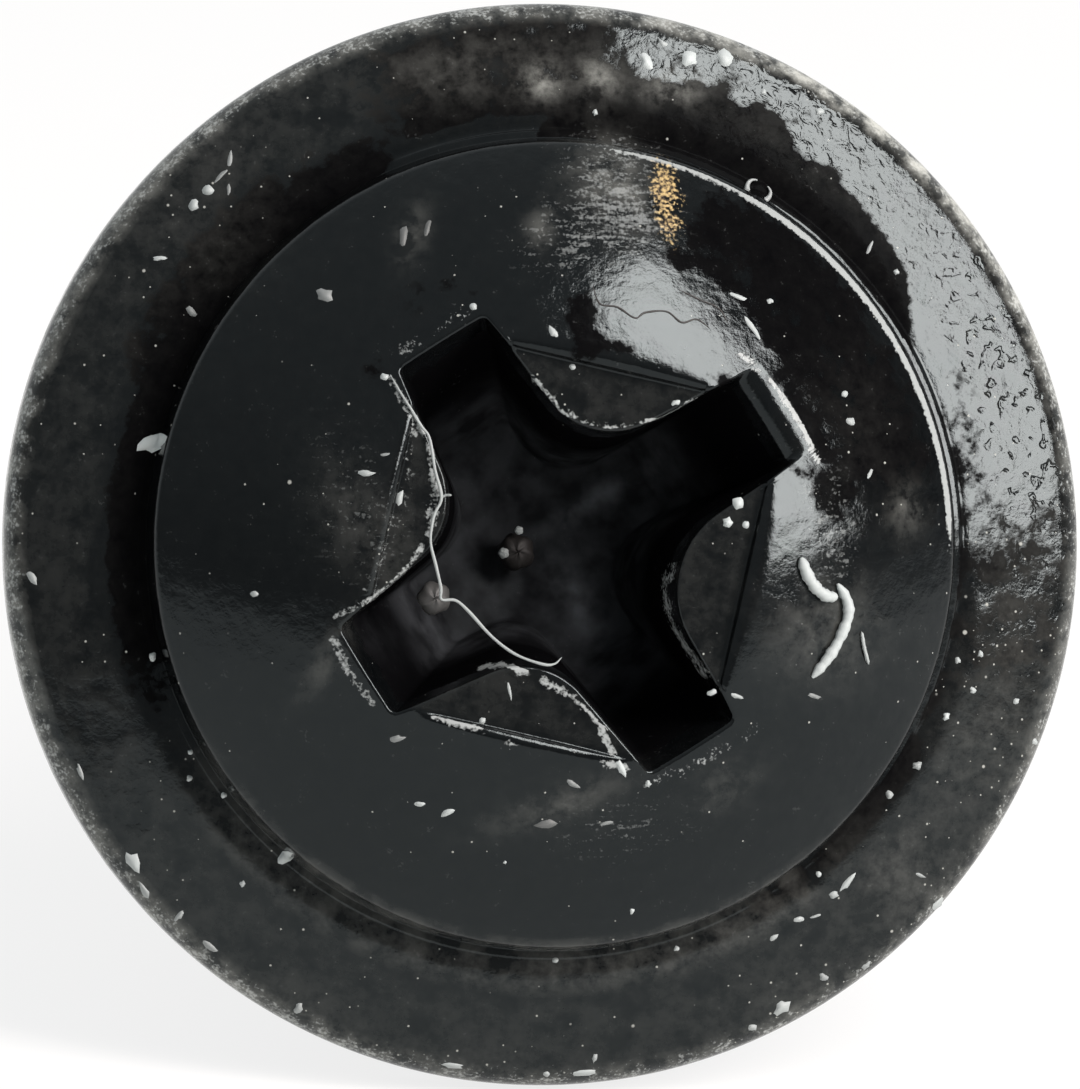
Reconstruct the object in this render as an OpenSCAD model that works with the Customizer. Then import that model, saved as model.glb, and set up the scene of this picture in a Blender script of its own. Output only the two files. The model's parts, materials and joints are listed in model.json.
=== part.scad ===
// Self-tapping screw with a domed pan head on a round collar, a cross recess for the driver,
// a spaced 60 degree thread and a sharp cone point. It lies on a flat surface, as it comes to rest:
// on the collar's edge and on the last two thread crests, with the head facing -Y.

/* [Collar] */
// Outside diameter of the collar
collar_d = 10; // [9.6:0.1:10.8]
// Radius of the collar's two rounded edges
collar_edge_r = 0.3; // [0.24:0.02:0.36]
// Height of the straight band between those edges
collar_band = 0.14; // [0.08:0.02:0.2]
// Slope of the collar's upper face
collar_slope = 20; // [16:1:22]
// Radius at which the sloping face turns into the level shelf round the pan
shelf_r = 4.12; // [4:0.02:4.2]

/* [Pan] */
// Diameter of the pan where it stands on the collar
pan_d = 7.5; // [7.2:0.1:7.6]
// Height of the dome's crown over the bearing face
head_h = 2.7; // [2.64:0.02:2.9]
// Radius of the dome
dome_r = 6; // [5.8:0.1:7]
// Draft of the pan's side wall
pan_draft = 6; // [3:1:8]
// Radius of the edge between the dome and the side wall
pan_edge_r = 0.12; // [0.06:0.02:0.16]
// Radius of the fillet between the side wall and the shelf
pan_foot_r = 0.16; // [0.1:0.02:0.2]

/* [Cross recess] */
// Span of the wings, tip to tip, at the head's surface
wing_span = 4.38; // [4.2:0.02:4.5]
// Width of a wing at its tip, at the head's surface
wing_w = 0.92; // [0.84:0.01:0.98]
// Angle by which each side of a wing opens towards the middle
wing_flare = 8.7; // [8:0.1:9.4]
// Distance from the axis to the round corner between two wings, at the head's surface
corner_reach = 1.13; // [1.12:0.01:1.2]
// Depth of the wings below the head's surface
wing_depth = 2.1; // [1.9:0.05:2.15]
// Slope of the wing tips from the axis
wing_tip_slope = 26.5; // [24:0.5:27]
// Width of a wing at the bottom of the recess
wing_floor_w = 0.7; // [0.66:0.01:0.74]
// Distance from the axis to the corner between two wings, at the bottom of the recess
corner_floor_reach = 0.76; // [0.74:0.01:0.8]
// Angle of the cone at the bottom of the recess
floor_cone = 140; // [130:2:150]
// Radius of the wing tip's two corners
wing_corner_r = 0.07; // [0.04:0.01:0.1]
// Turn of the recess about the screw's axis
recess_turn = 32; // [0:1:89]
// Distance from the axis to the straight edge of each sunk land between two wings
land_reach = 1.67; // [1.6:0.01:1.72]
// Depth of the lands' step below the dome, at the middle of that edge
land_step = 0.13; // [0.08:0.01:0.18]

/* [Shank and thread] */
// Length from the bearing face to the point
shank_l = 13; // [12:0.5:19]
// Outside diameter of the thread
thread_d = 4.2; // [4:0.05:4.22]
// Core diameter at the thread's root
core_d = 3.1; // [2.95:0.05:3.15]
// Distance from one turn of the thread to the next
pitch = 1.4; // [1.35:0.05:1.5]
// Included angle of the thread's flanks
flank_angle = 60; // [50:2:64]
// Width of the thread's crest
crest_w = 0.1; // [0.06:0.02:0.14]
// Diameter of the plain neck under the head
neck_d = 3.5; // [3.3:0.05:3.6]
// Length of the plain neck
neck_l = 0.85; // [0.7:0.05:1]
// Radius of the fillet under the head
neck_fillet_r = 0.4; // [0.38:0.01:0.5]
// Length over which the neck narrows to the core
neck_taper_l = 0.7; // [0.5:0.1:1]
// Included angle of the cone point
point_angle = 45; // [42:1:50]
// Length from the point over which the thread's crest tapers
crest_taper_l = 3.5; // [3.2:0.1:3.8]

/* [Hidden] */
$fn = 96;
arc_steps = 8;                 // segments of a small arc in the turned outline
dome_steps = 22;               // segments of the dome's arc
turn_steps = 36;               // segments of one turn of the thread
point_r = 0.05;                // blunt end of the cone point
ramp_turns = 0.8;              // turns over which the thread rises out of the neck
sunk = 0.12;                   // how far the thread's root stands inside the core
tip_clear = 0.35;              // length of bare point beyond the thread's end
headroom = 0.3;                // how far the recess tool starts above the crown

collar_r = collar_d / 2;
pan_r = pan_d / 2;
thread_r = thread_d / 2;
core_r = core_d / 2;
neck_r = neck_d / 2;
dome_centre = [0, head_h - dome_r];
point_l = (core_r - point_r) / tan(point_angle / 2);

// Points on an arc about centre c, from angle a to angle b
function arc(c, r, a, b, n) = [for (i = [0:n]) c + r * [cos(a + (b - a) * i / n), sin(a + (b - a) * i / n)]];

// Turned outline of the head, from the bearing face round the collar and the pan to the crown
edge_c = [collar_r - collar_edge_r, collar_edge_r];
upper_edge_c = edge_c + [0, collar_band];
slope_start = upper_edge_c + collar_edge_r * [sin(collar_slope), cos(collar_slope)];
shelf_outer = [shelf_r, slope_start.y + (slope_start.x - shelf_r) * tan(collar_slope)];
foot_x = pan_r + pan_foot_r * (1 - sin(pan_draft)) / cos(pan_draft);
shelf_arc_r = (shelf_r - foot_x) / sin(collar_slope);
shelf_c = shelf_outer - shelf_arc_r * [sin(collar_slope), cos(collar_slope)];
shelf_z = shelf_c.y + shelf_arc_r;
foot_c = [foot_x, shelf_z + pan_foot_r];
wall_n = [cos(pan_draft), sin(pan_draft)];
wall_t = [-sin(pan_draft), cos(pan_draft)];
wall_in = wall_n * [pan_r, shelf_z] - pan_edge_r;
dome_side = wall_in - wall_n * dome_centre;
round_up = wall_t * dome_centre + sqrt(pow(dome_r - pan_edge_r, 2) - dome_side * dome_side);
round_c = wall_in * wall_n + round_up * wall_t;
dome_start = atan2(round_c.y - dome_centre.y, round_c.x);

head_outline = concat(
    arc(edge_c, collar_edge_r, -90, 0, arc_steps),
    arc(upper_edge_c, collar_edge_r, 0, 90 - collar_slope, arc_steps),
    arc(shelf_c, shelf_arc_r, 90 - collar_slope, 90, arc_steps),
    arc(foot_c, pan_foot_r, 270, 180 + pan_draft, arc_steps / 2),
    arc(round_c, pan_edge_r, pan_draft, dome_start, arc_steps / 2),
    [for (p = arc(dome_centre, dome_r, dome_start, 90, dome_steps)) if (p.x < round_c.x) p]);

// Turned outline of the shank, from the point up to the bearing face
neck_c = [neck_r + neck_fillet_r, -neck_fillet_r];
shank_outline = concat(
    [[0, -shank_l], [point_r, -shank_l], [core_r, -shank_l + point_l],
     [core_r, -neck_l - neck_taper_l], [neck_r, -neck_l]],
    arc(neck_c, neck_fillet_r, 180, 90, arc_steps));

// Radius of the shank without its thread at height z
function shank_r(z) = lookup(z, [
    [-shank_l, point_r], [-shank_l + point_l, core_r],
    [-neck_l - neck_taper_l, core_r], [-neck_l, neck_r]]);

// Height of the crest's centre line, where its full height ends and where the thread stops at each end
crest_full_z = -shank_l + crest_taper_l;
thread_bottom_z = -shank_l + tip_clear;
thread_top_z = -neck_l;
crest_end_r = shank_r(thread_bottom_z) - sunk / 2;
crest_taper = (thread_r - crest_end_r) / (crest_full_z - thread_bottom_z);
ramp_l = ramp_turns * pitch;

// Radius of the thread's crest at height z: full along the shank, tapered at the point, ramped under the neck
function crest_r(z) = min(
    thread_r,
    thread_r - (crest_full_z - z) * crest_taper,
    neck_r - sunk / 2 + (thread_top_z - z) / ramp_l * (thread_r - neck_r + sunk / 2));

// At rest the support line touches the collar's lower edge and two neighbouring crests, the second on the taper
function crest_on_line(tilt) = crest_full_z + pitch - pitch * tan(tilt) / crest_taper;
function line_gap(tilt) = (edge_c.x - thread_r) * cos(tilt) + collar_edge_r
    - (edge_c.y - crest_on_line(tilt) + crest_w / 2) * sin(tilt);
function solve_tilt(low, high, n) = n == 0 ? (low + high) / 2
    : let (mid = (low + high) / 2)
      line_gap(mid) > 0 ? solve_tilt(mid, high, n - 1) : solve_tilt(low, mid, n - 1);
rest_tilt = solve_tilt(1, 40, 40);
rest_h = edge_c.x * cos(rest_tilt) - edge_c.y * sin(rest_tilt) + collar_edge_r;
down = -90;                    // side of the screw that lies underneath
crest_turn = down - 360 * (crest_on_line(rest_tilt) - thread_bottom_z) / pitch;

// Middle of the part along Y, from the dome's front to the point
front_y = -dome_centre.y * cos(rest_tilt) - dome_r;
back_y = shank_l * cos(rest_tilt) + point_r * sin(rest_tilt);

// Level of the wings' tips and of the lands
rim_z = dome_centre.y + sqrt(dome_r * dome_r - wing_span * wing_span / 4);
land_z = dome_centre.y + sqrt(dome_r * dome_r - land_reach * land_reach) - land_step;

// Outline of the cross recess for a given half span, half width and corner reach
function cross_outline(span, half_w, reach) =
    let (s = sin(wing_flare), c = cos(wing_flare), q = wing_corner_r,
         k = (s + c) / sqrt(2),
         pillar_r = (k * reach - s * span - c * half_w) / (1 - k),
         pillar = [1, 1] * (reach + pillar_r) / sqrt(2),
         tip_c = [span - q, half_w - q * (1 - s) / c])
    [for (turn = [0:90:270], p = concat(
            arc(tip_c, q, 0, 90 - wing_flare, 2),
            arc(pillar, pillar_r, 270 - wing_flare, 180 + wing_flare, 6),
            arc([tip_c.y, tip_c.x], q, wing_flare, 90, 2)))
        [p.x * cos(turn) - p.y * sin(turn), p.x * sin(turn) + p.y * cos(turn)]];

// The same outline at a depth below the wing tips' level, each size narrowing in a straight line
function cross_at(depth) =
    let (f = depth / wing_depth)
    cross_outline(
        wing_span / 2 - depth * tan(wing_tip_slope),
        wing_w / 2 + (wing_floor_w - wing_w) / 2 * f,
        corner_reach + (corner_floor_reach - corner_reach) * f);

// The head, neck, core and cone point, turned in one piece
module blank() {
    rotate_extrude()
        polygon(concat(shank_outline, head_outline));
}

// The helical ridge, swept from the point to the neck
module thread() {
    turns = (thread_top_z - thread_bottom_z) / pitch;
    n = floor(turns * turn_steps);
    rings = [for (i = [0:n])
        let (z = thread_bottom_z + pitch * i / turn_steps,
             a = crest_turn + 360 * i / turn_steps,
             top = crest_r(z),
             half = crest_w / 2 + (top - shank_r(z) + sunk) * tan(flank_angle / 2),
             section = [
                [shank_r(z - half) - sunk, z - half], [top, z - crest_w / 2],
                [top, z + crest_w / 2], [shank_r(z + half) - sunk, z + half]])
        [for (p = section) [p.x * cos(a), p.x * sin(a), p.y]]];
    sides = [for (i = [0:n - 1], j = [0:3])
        let (a = 4 * i + j, b = 4 * i + (j + 1) % 4)
        each [[a, b, a + 4], [b, b + 4, a + 4]]];
    polyhedron(
        points = [for (ring = rings) each ring],
        faces = concat([[3, 2, 1, 0]], sides, [[for (j = [0:3]) 4 * n + j]]));
}

// What the punch removes: four tapered wings with the core between them, ending on a cone
module cross_recess() {
    above = head_h + headroom - rim_z;
    below = wing_depth + 0.5;
    top = cross_at(-above);
    bottom = cross_at(below);
    n = len(top);
    apex_z = rim_z - wing_depth - norm(cross_at(wing_depth)[0]) / tan(floor_cone / 2);
    cone_h = rim_z + above + 0.1 - apex_z;
    intersection() {
        rotate([0, 0, recess_turn])
            polyhedron(
                points = concat(
                    [for (p = top) [p.x, p.y, rim_z + above]],
                    [for (p = bottom) [p.x, p.y, rim_z - below]]),
                faces = concat(
                    [[for (i = [n - 1:-1:0]) i]],
                    [for (i = [0:n - 1])
                        let (j = (i + 1) % n)
                        each [[i, j, n + j], [i, n + j, n + i]]],
                    [[for (i = [0:n - 1]) n + i]]));
        translate([0, 0, apex_z])
            cylinder(h = cone_h, r1 = 0, r2 = cone_h * tan(floor_cone / 2));
    }
}

// The square sink that leaves a flat land between each two wings
module lands() {
    rotate([0, 0, recess_turn + 45])
        translate([-land_reach, -land_reach, land_z])
            cube([2 * land_reach, 2 * land_reach, head_h + headroom - land_z]);
}

// Lays the screw down, from its own axis along Z with the bearing face at zero
module at_rest() {
    translate([0, -(front_y + back_y) / 2, rest_h])
        rotate([90 - rest_tilt, 0, 0])
            children();
}

module screw() {
    color([0.07, 0.08, 0.085])
        at_rest()
            difference() {
                union() {
                    blank();
                    thread();
                }
                cross_recess();
                lands();
            }
}

screw();
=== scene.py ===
"""A used black self-tapping screw, lying on a white sheet and seen from the side its head faces.

All forms are worked out in the screw's own frame, in millimetres: the axis is Z, the bearing face
is at zero, the head is up. place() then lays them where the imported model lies.
"""
import json

import bmesh
import bpy
import numpy as np
from mathutils import Matrix


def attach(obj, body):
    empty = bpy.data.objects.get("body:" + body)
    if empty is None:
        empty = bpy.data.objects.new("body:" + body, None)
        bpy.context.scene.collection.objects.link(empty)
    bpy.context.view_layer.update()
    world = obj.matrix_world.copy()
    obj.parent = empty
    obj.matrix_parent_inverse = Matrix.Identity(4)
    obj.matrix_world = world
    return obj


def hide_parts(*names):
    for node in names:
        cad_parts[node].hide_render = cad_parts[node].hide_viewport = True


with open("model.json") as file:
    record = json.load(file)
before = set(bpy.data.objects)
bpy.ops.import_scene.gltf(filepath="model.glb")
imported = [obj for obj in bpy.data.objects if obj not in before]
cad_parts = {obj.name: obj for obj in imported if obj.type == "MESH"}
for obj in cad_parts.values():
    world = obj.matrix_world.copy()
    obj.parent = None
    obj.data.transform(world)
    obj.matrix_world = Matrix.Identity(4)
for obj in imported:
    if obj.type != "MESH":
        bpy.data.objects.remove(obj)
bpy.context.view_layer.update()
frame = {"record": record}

# Sizes of the part, in millimetres and degrees
COLLAR_R = 5.0
COLLAR_EDGE_R = 0.3
COLLAR_BAND = 0.14
COLLAR_SLOPE = 20.0
SHELF_R = 4.12
PAN_R = 3.75
PAN_DRAFT = 6.0
PAN_EDGE_R = 0.12
PAN_FOOT_R = 0.16
HEAD_H = 2.7
DOME_R = 6.0
WING_SPAN = 4.38
WING_W = 0.92
CORNERS = [(1.07, 5.0), (1.15, 8.7), (1.15, 8.7), (1.05, 2.0)]  # reach and flare: top, left, lower, right
WING_DEPTH = 2.1
WING_TIP_SLOPE = 26.5
WING_FLOOR_W = 0.7
CORNER_FLOOR_REACH = 0.76
FLOOR_CONE = 140.0
WING_CORNER_R = 0.07
RECESS_TURN = 32.0
LAND_REACH = 1.67
LOWER_REACH = 1.81      # the photograph's lower land reaches further out than the other three
LAND_STEP = 0.13
SHANK_L = 13.0
THREAD_R = 2.1
CORE_R = 1.55
PITCH = 1.4
FLANK_ANGLE = 60.0
CREST_W = 0.1
NECK_R = 1.75
NECK_L = 0.85
NECK_FILLET_R = 0.4
NECK_TAPER_L = 0.7
POINT_ANGLE = 45.0
POINT_R = 0.05
CREST_TAPER_L = 3.5
TIP_CLEAR = 0.35
SUNK = 0.12
RAMP_L = 0.8 * PITCH

# What the mesh adds to them
RIM_WEAR = 0.035        # worn round of the recess's edge
TIP_WEAR = 0.185        # more of it at the end of the wing that points up and to the right
LAND_WEAR = 0.05        # width over which the lands' step is rolled over
ROOT_ROUND = 0.07       # round at the thread's root
FOOT = [(-0.008, 0.075), (-0.005, 0.068), (0.002, 0.063), (0.008, 0.0605), (0.023, 0.0547), (0.039, 0.0486),
        (0.055, 0.0424), (0.062, 0.037), (0.067, 0.026), (0.073, 0.013), (0.085, 0.005), (0.108, 0.0012),
        (0.144, 0)]      # narrow ledge rolled into the pan's foot: out from the pan, up from the shelf

BURR_SIDE = 59.2        # where a burr bulges the ledge, in degrees

# How finely the mesh is cut
EIGHTH = (13, 7, 22, 30)            # points on half a tip, a tip corner, a flank, half a corner
RAYS = 8 * sum(EIGHTH)              # points in each ring of the head
SHANK_RAYS = RAYS // 4              # points in each ring of the shank
TURN_PHASES = np.array([-0.036, 0, 0.036, 0.11, 0.185, 0.235, 0.2625, 0.3, 0.4,
                        0.5, 0.6, 0.7, 0.7375, 0.765, 0.815, 0.89])


def cos(a):
    return np.cos(np.radians(a))


def sin(a):
    return np.sin(np.radians(a))


def tan(a):
    return np.tan(np.radians(a))


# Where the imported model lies: the bearing face's mount gives the seat and the axis
bearing = next(m for m in frame["record"]["mounts"] if m["name"] == "bearing_face")
SEAT = np.array([0.0, bearing["pos_m"][1], bearing["pos_m"][2]])
AXIS = -np.array(bearing["axis"])
SCREW_TO_WORLD = np.column_stack([[1.0, 0.0, 0.0], np.cross(AXIS, [1.0, 0.0, 0.0]), AXIS])


def place(points):
    """World metres of points in the screw's frame: turned onto its axis, scaled, moved to its seat."""
    return SEAT + 0.001 * np.asarray(points) @ SCREW_TO_WORLD.T


def smooth(t):
    """Rises from 0 to 1 as t does, level at both ends."""
    t = np.clip(t, 0, 1)
    return t * t * (3 - 2 * t)


def spread(start, stop, count):
    """Evenly spaced values from start to stop, without start."""
    return start + (stop - start) * np.arange(1, count + 1) / count


# ------------------------------------------------------------------ the head's form


RIM_Z = HEAD_H - DOME_R + np.sqrt(DOME_R ** 2 - WING_SPAN ** 2 / 4)
LAND_Z = HEAD_H - DOME_R + np.sqrt(DOME_R ** 2 - LAND_REACH ** 2) - LAND_STEP


def dome(r):
    """Height of the dome at distance r from the axis: a sphere whose top is at the crown."""
    return HEAD_H - DOME_R + np.sqrt(DOME_R ** 2 - r * r)


LAND_SIDES = [(0.7071, 0.7071, LAND_REACH), (-0.7071, 0.7071, LAND_REACH),
              (-0.7071, -0.7071, LOWER_REACH), (0.7071, -0.7071, LAND_REACH)]


def past_lands(x, y):
    """How far a point lies outside the square of the lands, less than zero inside it."""
    return np.max([x * out_x + y * out_y - reach for out_x, out_y, reach in LAND_SIDES], axis=0)


def crown(x, y):
    """Height of the head's top in the recess's frame.

    The dome, and inside a square that is turned by 45 degrees to the wings, the lower of the dome
    and the level lands. The step between them is rolled over a short width.
    """
    inside = smooth((0.3 * LAND_WEAR - past_lands(x, y)) / LAND_WEAR)
    top = dome(np.hypot(x, y))
    return top - np.maximum(top - LAND_Z, 0) * inside


def cross_points(depth):
    """Points of the recess's outline at a depth below the wing tips' level, one depth per point.

    An eighth of the outline runs from a wing's tip along its end, round its corner, down its flank
    and along the round corner between two wings. It is mirrored for the next eighth and turned
    for the other quarters. Each size narrows in a straight line with the depth.
    """
    index = np.arange(RAYS)
    quarter, step = index // (RAYS // 4), index % (RAYS // 4)
    rim_reach, flare = np.array(CORNERS)[quarter].T
    share = depth / WING_DEPTH
    span = WING_SPAN / 2 - depth * tan(WING_TIP_SLOPE)
    half_w = WING_W / 2 + (WING_FLOOR_W - WING_W) / 2 * share
    reach = rim_reach + (CORNER_FLOOR_REACH - rim_reach) * share
    s, c = sin(flare), cos(flare)
    k = (s + c) / np.sqrt(2)
    corner_r = (k * reach - s * span - c * half_w) / (1 - k)
    corner = (reach + corner_r) / np.sqrt(2)
    tip_x, tip_y = span - WING_CORNER_R, half_w - WING_CORNER_R * (1 - s) / c

    mirrored = step >= RAYS // 8
    step = np.where(mirrored, RAYS // 4 - step, step)
    ends = np.cumsum(EIGHTH)
    part = np.searchsorted(ends, step, side="right").clip(0, 3)
    along = (step - (ends - EIGHTH)[part]) / np.array(EIGHTH)[part]

    round_a = along * (90 - flare)
    flank_from = (tip_x + WING_CORNER_R * s, tip_y + WING_CORNER_R * c)
    flank_to = (corner - corner_r * s, corner - corner_r * c)
    corner_a = 270 - flare + along * (flare - 45)
    x = np.choose(part, [
        span, tip_x + WING_CORNER_R * cos(round_a),
        flank_from[0] + along * (flank_to[0] - flank_from[0]), corner + corner_r * cos(corner_a)])
    y = np.choose(part, [
        along * tip_y, tip_y + WING_CORNER_R * sin(round_a),
        flank_from[1] + along * (flank_to[1] - flank_from[1]), corner + corner_r * sin(corner_a)])
    x, y = np.where(mirrored, y, x), np.where(mirrored, x, y)
    turn = 90 * quarter
    return x * cos(turn) - y * sin(turn), x * sin(turn) + y * cos(turn)


def arc(cx, cz, r, start, stop, count):
    """Points of a profile's arc about (cx, cz), without the first one."""
    a = spread(start, stop, count)
    return np.column_stack([cx + r * cos(a), cz + r * sin(a)])


def ledge_share(side):
    """How much of the ledge stands at an angle round the head: all on the upper right, little elsewhere."""
    return 0.15 + 0.85 * smooth((side + 48) / 36) * smooth((122 - side) / 30)


def raised(r, side):
    """Height of the ledge over the shelf, and of the steeper shelf on the right, by distance and angle."""
    ledge = np.interp(r, PAN_R + np.array(FOOT)[:, 0], np.array(FOOT)[:, 1], left=0) * ledge_share(side)
    rise = np.interp(r, [3.742, 3.86, 3.92, 3.98, 4.05, SHELF_R], [0.049, 0.049, 0.035, 0.017, 0.005, 0])
    return ledge + rise * (r > 3.741) * smooth((side + 14) / 16) * smooth((42 - side) / 16)


def head_profile():
    """Turned outline from the dome's edge round the pan's foot and the collar to the neck.

    Each round is tangent to what it joins: the pan's edge to the dome and the drafted wall, the
    shelf to the sloping face. raised() is added to it between the wall and the sloping face.
    """
    slope_x = COLLAR_R - COLLAR_EDGE_R + COLLAR_EDGE_R * sin(COLLAR_SLOPE)
    slope_z = COLLAR_EDGE_R + COLLAR_BAND + COLLAR_EDGE_R * cos(COLLAR_SLOPE)
    shelf_edge_z = slope_z + (slope_x - SHELF_R) * tan(COLLAR_SLOPE)
    foot_x = PAN_R + PAN_FOOT_R * (1 - sin(PAN_DRAFT)) / cos(PAN_DRAFT)
    shelf_arc_r = (SHELF_R - foot_x) / sin(COLLAR_SLOPE)
    shelf_arc_z = shelf_edge_z - shelf_arc_r * cos(COLLAR_SLOPE)
    shelf_z = shelf_arc_z + shelf_arc_r
    wall_n = np.array([cos(PAN_DRAFT), sin(PAN_DRAFT)])
    wall_t = np.array([-sin(PAN_DRAFT), cos(PAN_DRAFT)])
    dome_c = np.array([0, HEAD_H - DOME_R])
    inset = wall_n @ [PAN_R, shelf_z] - PAN_EDGE_R
    lift = wall_t @ dome_c + np.sqrt((DOME_R - PAN_EDGE_R) ** 2 - (inset - wall_n @ dome_c) ** 2)
    edge_c = inset * wall_n + lift * wall_t
    edge_a = np.degrees(np.arctan2(edge_c[1] - dome_c[1], edge_c[0]))
    dome_end = DOME_R * cos(edge_a)

    edge = arc(*edge_c, PAN_EDGE_R, edge_a, PAN_DRAFT, 7)
    foot = np.array([PAN_R + FOOT[0][0], shelf_z + FOOT[0][1]])
    profile = np.vstack([
        edge, [edge[-1] + t * (foot - edge[-1]) for t in (0.25, 0.5, 0.7, 0.85, 0.95)],
        np.array(FOOT) * [1, 0] + [PAN_R, shelf_z],
        arc(foot_x, shelf_arc_z, shelf_arc_r, 90, 90 - COLLAR_SLOPE, 7),
        np.column_stack([spread(SHELF_R, slope_x, 10), spread(shelf_edge_z, slope_z, 10)]),
        arc(COLLAR_R - COLLAR_EDGE_R, COLLAR_EDGE_R + COLLAR_BAND, COLLAR_EDGE_R,
            90 - COLLAR_SLOPE, 0, 8),
        arc(COLLAR_R - COLLAR_EDGE_R, COLLAR_EDGE_R, COLLAR_EDGE_R, 0, -90, 9),
        np.column_stack([spread(COLLAR_R - COLLAR_EDGE_R, NECK_R + NECK_FILLET_R, 4), np.zeros(4)]),
        arc(NECK_R + NECK_FILLET_R, -NECK_FILLET_R, NECK_FILLET_R, 90, 180, 7)])
    return dome_end, profile


def head_rings():
    """Rings of the head, from the bottom of the recess out over the dome and under to the neck.

    The walls are ruled between the recess's outline at its floor and on the head's top. Outside
    them each ring lies on straight rays from the axis: first to the lands' straight edges, then
    out to circles. Under the collar the rays even out to equal angles, to meet the shank's.
    """
    depth = np.zeros(RAYS)
    for _ in range(12):
        depth = RIM_Z - crown(*cross_points(depth))
    x, y = cross_points(depth)
    along = np.column_stack([np.roll(x, -1) - np.roll(x, 1), np.roll(y, -1) - np.roll(y, 1)])
    out = np.column_stack([along[:, 1], -along[:, 0]]) / np.hypot(*along.T)[:, None]
    tip = TIP_WEAR * smooth((out[:, 0] - 0.2) / 0.7) * (x > 1.5)
    wear = RIM_WEAR + 0.6 * tip
    tip_x, tip_y = cross_points(np.full(RAYS, WING_DEPTH))
    apex_z = RIM_Z - WING_DEPTH - np.hypot(tip_x, tip_y)[EIGHTH[0]] / tan(FLOOR_CONE / 2)
    bottom = np.full(RAYS, WING_DEPTH)
    for _ in range(12):
        bottom = RIM_Z - apex_z - np.hypot(*cross_points(bottom)) / tan(FLOOR_CONE / 2)
    floor_x, floor_y = cross_points(bottom)
    floor_h = RIM_Z - bottom - apex_z
    rings = [np.column_stack([t * floor_x, t * floor_y, apex_z + t * floor_h])
             for t in (0.08, 0.2, 0.35, 0.5, 0.65, 0.8, 0.9, 0.96, 1.0)]
    for t in np.append(0.02, spread(0, 1, 11)):
        level = bottom + t * (depth + wear - bottom)
        x, y = cross_points(level)
        rings.append(np.column_stack([x, y, RIM_Z - level]))

    wall = rings[-1]
    x, y = cross_points(depth)
    rim = np.column_stack([x, y, RIM_Z - depth])
    lip = rim[:, :2] + RIM_WEAR * out + np.column_stack([tip, 0 * tip])
    lip = np.column_stack([lip, crown(*lip.T)])
    rings += [(1 - t) ** 2 * wall + 2 * t * (1 - t) * rim + t * t * lip for t in spread(0, 1, 6)]

    start = np.hypot(*lip[:, :2].T)
    ray = lip[:, :2] / start[:, None]
    chord = 1 / np.max([ray @ side[:2] / side[2] for side in LAND_SIDES], axis=0)
    chord = np.maximum(np.minimum(chord, 2.47), start + 0.03)
    roll = np.minimum(LAND_WEAR, 0.4 * (chord - start))
    reaches = ([start + t * (chord - roll - start) for t in spread(0, 1, 7)]
               + [chord - roll * (1 - t) for t in spread(0, 1, 4)]
               + [chord + t * (2.6 - chord) for t in spread(0, 1, 10)])
    dome_end, profile = head_profile()
    reaches += [np.full(RAYS, r) for r in spread(2.6, dome_end, 18)]
    for r in reaches:
        plan = ray * r[:, None]
        rings.append(np.column_stack([plan, crown(*plan.T)]))

    angle = np.unwrap(np.arctan2(ray[:, 1], ray[:, 0]))
    even = np.arange(RAYS) * 2 * np.pi / RAYS
    for r, z in profile:
        blend = smooth((COLLAR_R - 0.2 - r) / 1.6) if z < 0.2 else 0
        a = angle + blend * (even - angle)
        side = np.mod(np.degrees(a) + RECESS_TURN + 180, 360) - 180
        bulge = 0.05 * np.exp(-((side - BURR_SIDE) / 1.3) ** 2) * smooth(1.5 - abs(r - 3.79) / 0.07) * (z > 0.9)
        height = z + raised(r, side) * (0.9 < z < 1.05)
        rings.append(np.column_stack([(r + bulge) * np.cos(a), (r + bulge) * np.sin(a), height]))

    rings = np.array(rings)
    turn = np.array([[cos(RECESS_TURN), -sin(RECESS_TURN), 0],
                     [sin(RECESS_TURN), cos(RECESS_TURN), 0], [0, 0, 1]])
    return rings @ turn.T, apex_z


def top_height(x, y):
    """Height of the head's upper side at (x, y): the crown, then the profile as far as the collar."""
    r = np.hypot(x, y)
    c, d = cos(RECESS_TURN), sin(RECESS_TURN)
    dome_end, profile = head_profile()
    out = profile[:np.argmax(profile[:, 0]) + 1]
    height = np.interp(r, *out.T) + raised(r, np.degrees(np.arctan2(y, x)))
    return np.where(r < dome_end, crown(x * c + y * d, y * c - x * d), height)


# ------------------------------------------------------------------ the shank and thread


def core(z):
    """Radius of the shank without its thread: cone point, core, taper, neck."""
    point_l = (CORE_R - POINT_R) / tan(POINT_ANGLE / 2)
    return np.interp(z, [-SHANK_L, -SHANK_L + point_l, -NECK_L - NECK_TAPER_L, -NECK_L],
                     [POINT_R, CORE_R, CORE_R, NECK_R])


THREAD_BOTTOM = -SHANK_L + TIP_CLEAR
CREST_FULL = -SHANK_L + CREST_TAPER_L
CREST_TAPER = (THREAD_R - core(THREAD_BOTTOM) + SUNK / 2) / (CREST_FULL - THREAD_BOTTOM)


def crest(z):
    """Radius of the thread's crest: full along the shank, tapered at the point, ramped at the neck."""
    low = NECK_R - SUNK / 2
    return np.minimum(np.minimum(THREAD_R, THREAD_R - (CREST_FULL - z) * CREST_TAPER),
                      low + (-NECK_L - z) / RAMP_L * (THREAD_R - low))


def crest_at_rest():
    """Height at which a crest lies underneath: the one that the support line touches on the taper.

    The line touches the collar's lower edge and two neighbouring crests, so its slope fixes both.
    """
    slope = np.arcsin(AXIS[2])
    return CREST_FULL + PITCH - PITCH * np.tan(slope) / CREST_TAPER


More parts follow.
